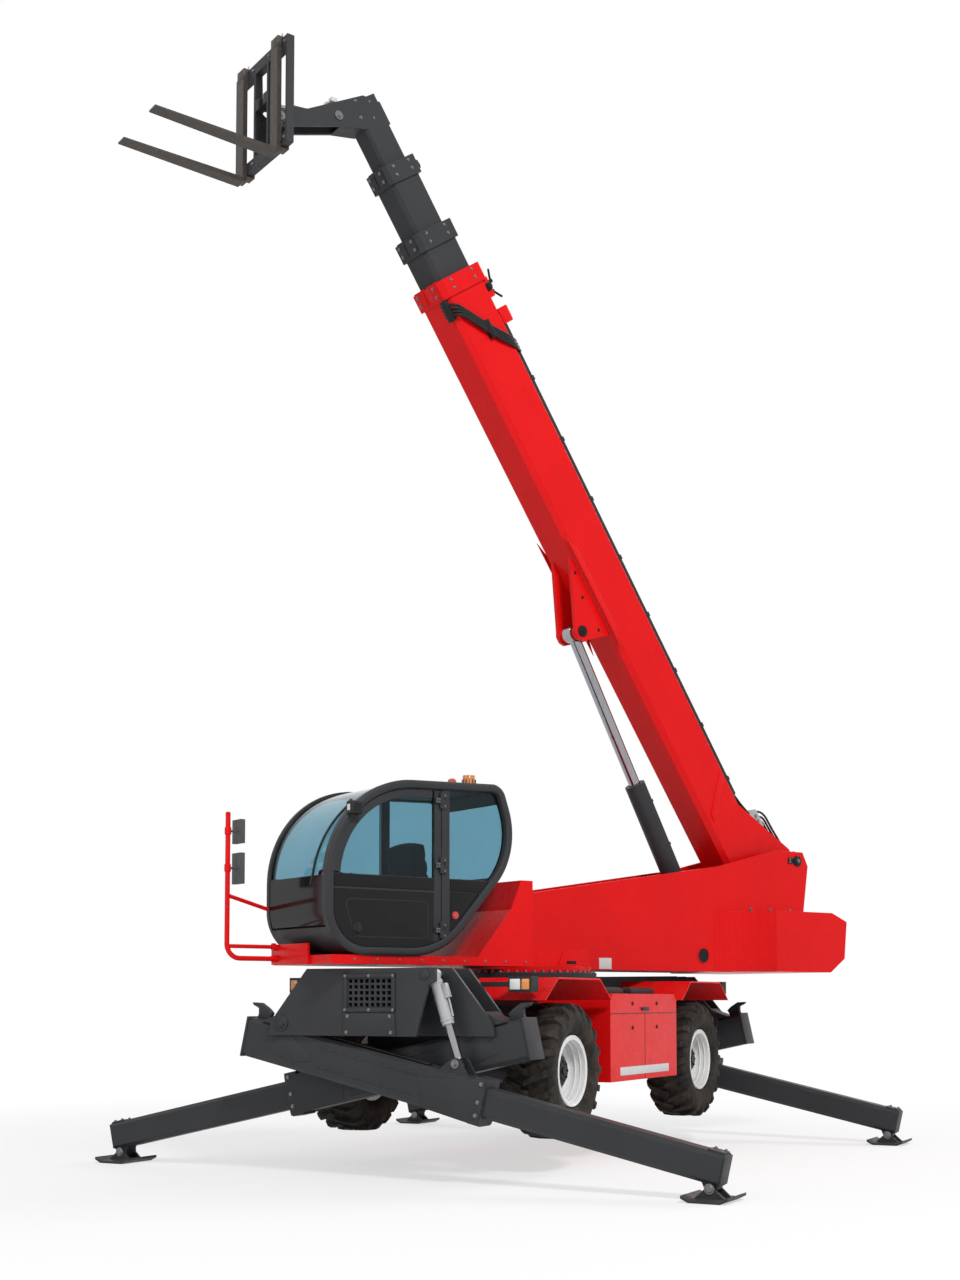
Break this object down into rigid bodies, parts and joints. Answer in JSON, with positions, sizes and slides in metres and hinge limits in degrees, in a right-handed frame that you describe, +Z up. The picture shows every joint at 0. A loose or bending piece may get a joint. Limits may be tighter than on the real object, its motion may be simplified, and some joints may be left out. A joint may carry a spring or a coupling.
{
  "type": "rotating telehandler",
  "caption": "Rotating telehandler: turret with cab and telescopic fork boom slewing on a wheeled chassis with scissor outriggers and telescoping legs.",
  "frame": {"origin": "on the ground under the slew axis, midway between the axles", "axes": "+X chassis forward, +Y chassis left, +Z up; the boom is raised and the turret turned as in the picture"},
  "size_m": [7.6608, 6.0662, 9.9523],
  "materials": {
    "red_paint": "gloss",
    "dark_paint": "satin",
    "cast_engine": "matte",
    "lamp": "gloss",
    "tyre": "matte",
    "rim": "satin",
    "glass": "gloss",
    "interior": "matte",
    "black_panel": "gloss",
    "mirror": "gloss",
    "beacon": "gloss",
    "chrome": "polished",
    "jack_grey": "satin",
    "fork_steel": "satin"
  },
  "bodies": {
    "chassis": {"chassis_frame": "dark_paint", "side_cabinet_left": "red_paint", "engine_hood_right": "red_paint", "engine_block": "cast_engine", "fenders": "red_paint", "axles": "dark_paint", "lamps": "lamp"},
    "turret": {"turret_frame": "red_paint", "counterweight": "red_paint", "cab_shell": "dark_paint", "cab_glass": "glass", "cab_interior": "interior", "guard_rail": "red_paint", "mirrors": "mirror", "beacon": "beacon"},
    "door": {"door_frame": "black_panel", "door_glass": "glass"},
    "boom": {"boom_base": "red_paint"},
    "stage_1": {"boom_stage_1": "dark_paint"},
    "stage_2": {"boom_stage_2": "dark_paint"},
    "stage_3": {"boom_stage_3": "dark_paint"},
    "carriage": {"fork_carriage": "dark_paint", "fork_blades": "fork_steel"},
    "lift_barrel": {"lift_barrel": "dark_paint"},
    "lift_rod": {"lift_rod": "chrome"},
    "tilt_barrel": {"tilt_barrel": "dark_paint"},
    "tilt_rod": {"tilt_rod": "chrome"},
    "knuckle_fl": {"knuckle_fl": "dark_paint"},
    "wheel_fl": {"rim_fl": "rim", "tyre_fl": "tyre"},
    "knuckle_fr": {"knuckle_fr": "dark_paint"},
    "wheel_fr": {"rim_fr": "rim", "tyre_fr": "tyre"},
    "knuckle_rl": {"knuckle_rl": "dark_paint"},
    "wheel_rl": {"rim_rl": "rim", "tyre_rl": "tyre"},
    "knuckle_rr": {"knuckle_rr": "dark_paint"},
    "wheel_rr": {"rim_rr": "rim", "tyre_rr": "tyre"},
    "outrigger_fl": {"outrigger_beam_fl": "dark_paint"},
    "leg_fl": {"outrigger_leg_fl": "dark_paint"},
    "foot_fl": {"outrigger_foot_fl": "dark_paint"},
    "jack_barrel_fl": {"jack_barrel_fl": "jack_grey"},
    "jack_rod_fl": {"jack_rod_fl": "chrome"},
    "outrigger_fr": {"outrigger_beam_fr": "dark_paint"},
    "leg_fr": {"outrigger_leg_fr": "dark_paint"},
    "foot_fr": {"outrigger_foot_fr": "dark_paint"},
    "jack_barrel_fr": {"jack_barrel_fr": "jack_grey"},
    "jack_rod_fr": {"jack_rod_fr": "chrome"},
    "outrigger_rr": {"outrigger_beam_rr": "dark_paint"},
    "leg_rr": {"outrigger_leg_rr": "dark_paint"},
    "foot_rr": {"outrigger_foot_rr": "dark_paint"},
    "jack_barrel_rr": {"jack_barrel_rr": "jack_grey"},
    "jack_rod_rr": {"jack_rod_rr": "chrome"},
    "outrigger_rl": {"outrigger_beam_rl": "dark_paint"},
    "leg_rl": {"outrigger_leg_rl": "dark_paint"},
    "foot_rl": {"outrigger_foot_rl": "dark_paint"},
    "jack_barrel_rl": {"jack_barrel_rl": "jack_grey"},
    "jack_rod_rl": {"jack_rod_rl": "chrome"}
  },
  "joints": [
    {"name": "slew", "type": "hinge", "parent": "chassis", "child": "turret", "pos_m": [0, 0, 1.72258], "axis": [0, 0, 1], "continuous": true},
    {"name": "steer_fl", "type": "hinge", "parent": "chassis", "child": "knuckle_fl", "pos_m": [1.565, 0.84, 0.86258], "axis": [0, 0, 1], "range_deg": [-30, 30]},
    {"name": "wheel_spin_fl", "type": "hinge", "parent": "knuckle_fl", "child": "wheel_fl", "pos_m": [1.565, 0.99, 0.86258], "axis": [0, 1, 0], "continuous": true},
    {"name": "steer_fr", "type": "hinge", "parent": "chassis", "child": "knuckle_fr", "pos_m": [1.565, -0.84, 0.86258], "axis": [0, 0, 1], "range_deg": [-30, 30]},
    {"name": "wheel_spin_fr", "type": "hinge", "parent": "knuckle_fr", "child": "wheel_fr", "pos_m": [1.565, -0.99, 0.86258], "axis": [0, 1, 0], "continuous": true},
    {"name": "steer_rl", "type": "hinge", "parent": "chassis", "child": "knuckle_rl", "pos_m": [-1.565, 0.84, 0.86258], "axis": [0, 0, 1], "range_deg": [-30, 30]},
    {"name": "wheel_spin_rl", "type": "hinge", "parent": "knuckle_rl", "child": "wheel_rl", "pos_m": [-1.565, 0.99, 0.86258], "axis": [0, 1, 0], "continuous": true},
    {"name": "steer_rr", "type": "hinge", "parent": "chassis", "child": "knuckle_rr", "pos_m": [-1.565, -0.84, 0.86258], "axis": [0, 0, 1], "range_deg": [-30, 30]},
    {"name": "wheel_spin_rr", "type": "hinge", "parent": "knuckle_rr", "child": "wheel_rr", "pos_m": [-1.565, -0.99, 0.86258], "axis": [0, 1, 0], "continuous": true},
    {"name": "outrigger_swing_fl", "type": "hinge", "parent": "chassis", "child": "outrigger_fl", "pos_m": [2.8, -0.86, 1.27258], "axis": [-1, 0, 0], "range_deg": [-11, 2]},
    {"name": "leg_slide_fl", "type": "slide", "parent": "outrigger_fl", "child": "leg_fl", "axis": [0, 0.9763, -0.2164], "range_m": [-1.7, 0.05]},
    {"name": "foot_tilt_fl", "type": "hinge", "parent": "leg_fl", "child": "foot_fl", "pos_m": [2.8, 2.85314, 0.095], "axis": [1, 0, 0], "range_deg": [-12, 10]},
    {"name": "jack_swing_fl", "type": "hinge", "parent": "chassis", "child": "jack_barrel_fl", "pos_m": [2.8, 0.51, 1.67058], "axis": [-1, 0, 0], "range_deg": [-16.06, 3.33]},
    {"name": "jack_stroke_fl", "type": "slide", "parent": "jack_barrel_fl", "child": "jack_rod_fl", "axis": [0, 0.321, -0.9471], "range_m": [-0.274, 0.054]},
    {"name": "outrigger_swing_fr", "type": "hinge", "parent": "chassis", "child": "outrigger_fr", "pos_m": [2.52, 0.86, 1.27258], "axis": [1, 0, 0], "range_deg": [-11, 2]},
    {"name": "leg_slide_fr", "type": "slide", "parent": "outrigger_fr", "child": "leg_fr", "axis": [0, -0.9763, -0.2164], "range_m": [-1.7, 0.05]},
    {"name": "foot_tilt_fr", "type": "hinge", "parent": "leg_fr", "child": "foot_fr", "pos_m": [2.52, -2.85314, 0.095], "axis": [-1, 0, 0], "range_deg": [-12, 10]},
    {"name": "jack_swing_fr", "type": "hinge", "parent": "chassis", "child": "jack_barrel_fr", "pos_m": [2.52, -0.51, 1.67058], "axis": [1, 0, 0], "range_deg": [-16.06, 3.33]},
    {"name": "jack_stroke_fr", "type": "slide", "parent": "jack_barrel_fr", "child": "jack_rod_fr", "axis": [0, -0.321, -0.9471], "range_m": [-0.274, 0.054]},
    {"name": "outrigger_swing_rr", "type": "hinge", "parent": "chassis", "child": "outrigger_rr", "pos_m": [-2.8, 0.86, 1.27258], "axis": [1, 0, 0], "range_deg": [-11, 2]},
    {"name": "leg_slide_rr", "type": "slide", "parent": "outrigger_rr", "child": "leg_rr", "axis": [0, -0.9763, -0.2164], "range_m": [-1.7, 0.05]},
    {"name": "foot_tilt_rr", "type": "hinge", "parent": "leg_rr", "child": "foot_rr", "pos_m": [-2.8, -2.85314, 0.095], "axis": [-1, 0, 0], "range_deg": [-12, 10]},
    {"name": "jack_swing_rr", "type": "hinge", "parent": "chassis", "child": "jack_barrel_rr", "pos_m": [-2.8, -0.51, 1.67058], "axis": [1, 0, 0], "range_deg": [-16.06, 3.33]},
    {"name": "jack_stroke_rr", "type": "slide", "parent": "jack_barrel_rr", "child": "jack_rod_rr", "axis": [0, -0.321, -0.9471], "range_m": [-0.274, 0.054]},
    {"name": "outrigger_swing_rl", "type": "hinge", "parent": "chassis", "child": "outrigger_rl", "pos_m": [-2.52, -0.86, 1.27258], "axis": [-1, 0, 0], "range_deg": [-11, 2]},
    {"name": "leg_slide_rl", "type": "slide", "parent": "outrigger_rl", "child": "leg_rl", "axis": [0, 0.9763, -0.2164], "range_m": [-1.7, 0.05]},
    {"name": "foot_tilt_rl", "type": "hinge", "parent": "leg_rl", "child": "foot_rl", "pos_m": [-2.52, 2.85314, 0.095], "axis": [1, 0, 0], "range_deg": [-12, 10]},
    {"name": "jack_swing_rl", "type": "hinge", "parent": "chassis", "child": "jack_barrel_rl", "pos_m": [-2.52, 0.51, 1.67058], "axis": [-1, 0, 0], "range_deg": [-16.06, 3.33]},
    {"name": "jack_stroke_rl", "type": "slide", "parent": "jack_barrel_rl", "child": "jack_rod_rl", "axis": [0, 0.321, -0.9471], "range_m": [-0.274, 0.054]},
    {"name": "boom_lift", "type": "hinge", "parent": "turret", "child": "boom", "pos_m": [-3.16265, 1.43127, 2.97258], "axis": [-0.4384, -0.8988, 0], "range_deg": [-55, 17]},
    {"name": "lift_swing", "type": "hinge", "parent": "turret", "child": "lift_barrel", "pos_m": [-2.27285, 0.99728, 1.90258], "axis": [-0.4384, -0.8988, 0], "range_deg": [-56.05, 17.67]},
    {"name": "lift_stroke", "type": "slide", "parent": "lift_barrel", "child": "lift_rod", "axis": [0.4414, -0.2153, 0.8711], "range_m": [-1.311, 0.409]},
    {"name": "telescope_1", "type": "slide", "parent": "boom", "child": "stage_1", "axis": [0.5155, -0.2514, 0.8192], "range_m": [-0.25, 4.9]},
    {"name": "telescope_2", "type": "slide", "parent": "stage_1", "child": "stage_2", "axis": [0.5155, -0.2514, 0.8192], "range_m": [-0.25, 4.9]},
    {"name": "telescope_3", "type": "slide", "parent": "stage_2", "child": "stage_3", "axis": [0.5155, -0.2514, 0.8192], "range_m": [-0.25, 4.9]},
    {"name": "fork_tilt", "type": "hinge", "parent": "stage_3", "child": "carriage", "pos_m": [2.50451, -1.33279, 9.37974], "axis": [0.4384, 0.8988, 0], "range_deg": [-60, 65]},
    {"name": "tilt_swing", "type": "hinge", "parent": "stage_3", "child": "tilt_barrel", "pos_m": [1.94725, -1.061, 9.59974], "axis": [-0.4384, -0.8988, 0], "range_deg": [-2.3, 2.45]},
    {"name": "tilt_stroke", "type": "slide", "parent": "tilt_barrel", "child": "tilt_rod", "axis": [0.8931, -0.4356, -0.1122], "range_m": [-0.13, 0.141]},
    {"name": "door_swing", "type": "hinge", "parent": "turret", "child": "door", "pos_m": [2.23625, 0.26446, 1.98258], "axis": [0, 0, 1], "range_deg": [0, 90]}
  ],
  "couplings": [
    {"joint": "steer_fr", "follows": "steer_fl", "ratio": 1},
    {"joint": "steer_rr", "follows": "steer_rl", "ratio": 1},
    {"joint": "jack_swing_fl", "follows": "outrigger_swing_fl", "ratio": 1.4144},
    {"joint": "jack_stroke_fl", "follows": "outrigger_swing_fl", "m_per_rad": 1.4026},
    {"joint": "jack_swing_fr", "follows": "outrigger_swing_fr", "ratio": 1.4144},
    {"joint": "jack_stroke_fr", "follows": "outrigger_swing_fr", "m_per_rad": 1.4026},
    {"joint": "jack_swing_rr", "follows": "outrigger_swing_rr", "ratio": 1.4144},
    {"joint": "jack_stroke_rr", "follows": "outrigger_swing_rr", "m_per_rad": 1.4026},
    {"joint": "jack_swing_rl", "follows": "outrigger_swing_rl", "ratio": 1.4144},
    {"joint": "jack_stroke_rl", "follows": "outrigger_swing_rl", "m_per_rad": 1.4026},
    {"joint": "lift_swing", "follows": "boom_lift", "ratio": 1.01},
    {"joint": "lift_stroke", "follows": "boom_lift", "m_per_rad": 1.36},
    {"joint": "telescope_2", "follows": "telescope_1", "ratio": 1},
    {"joint": "telescope_3", "follows": "telescope_1", "ratio": 1},
    {"joint": "tilt_swing", "follows": "fork_tilt", "ratio": 0.03},
    {"joint": "tilt_stroke", "follows": "fork_tilt", "m_per_rad": 0.11959}
  ]
}
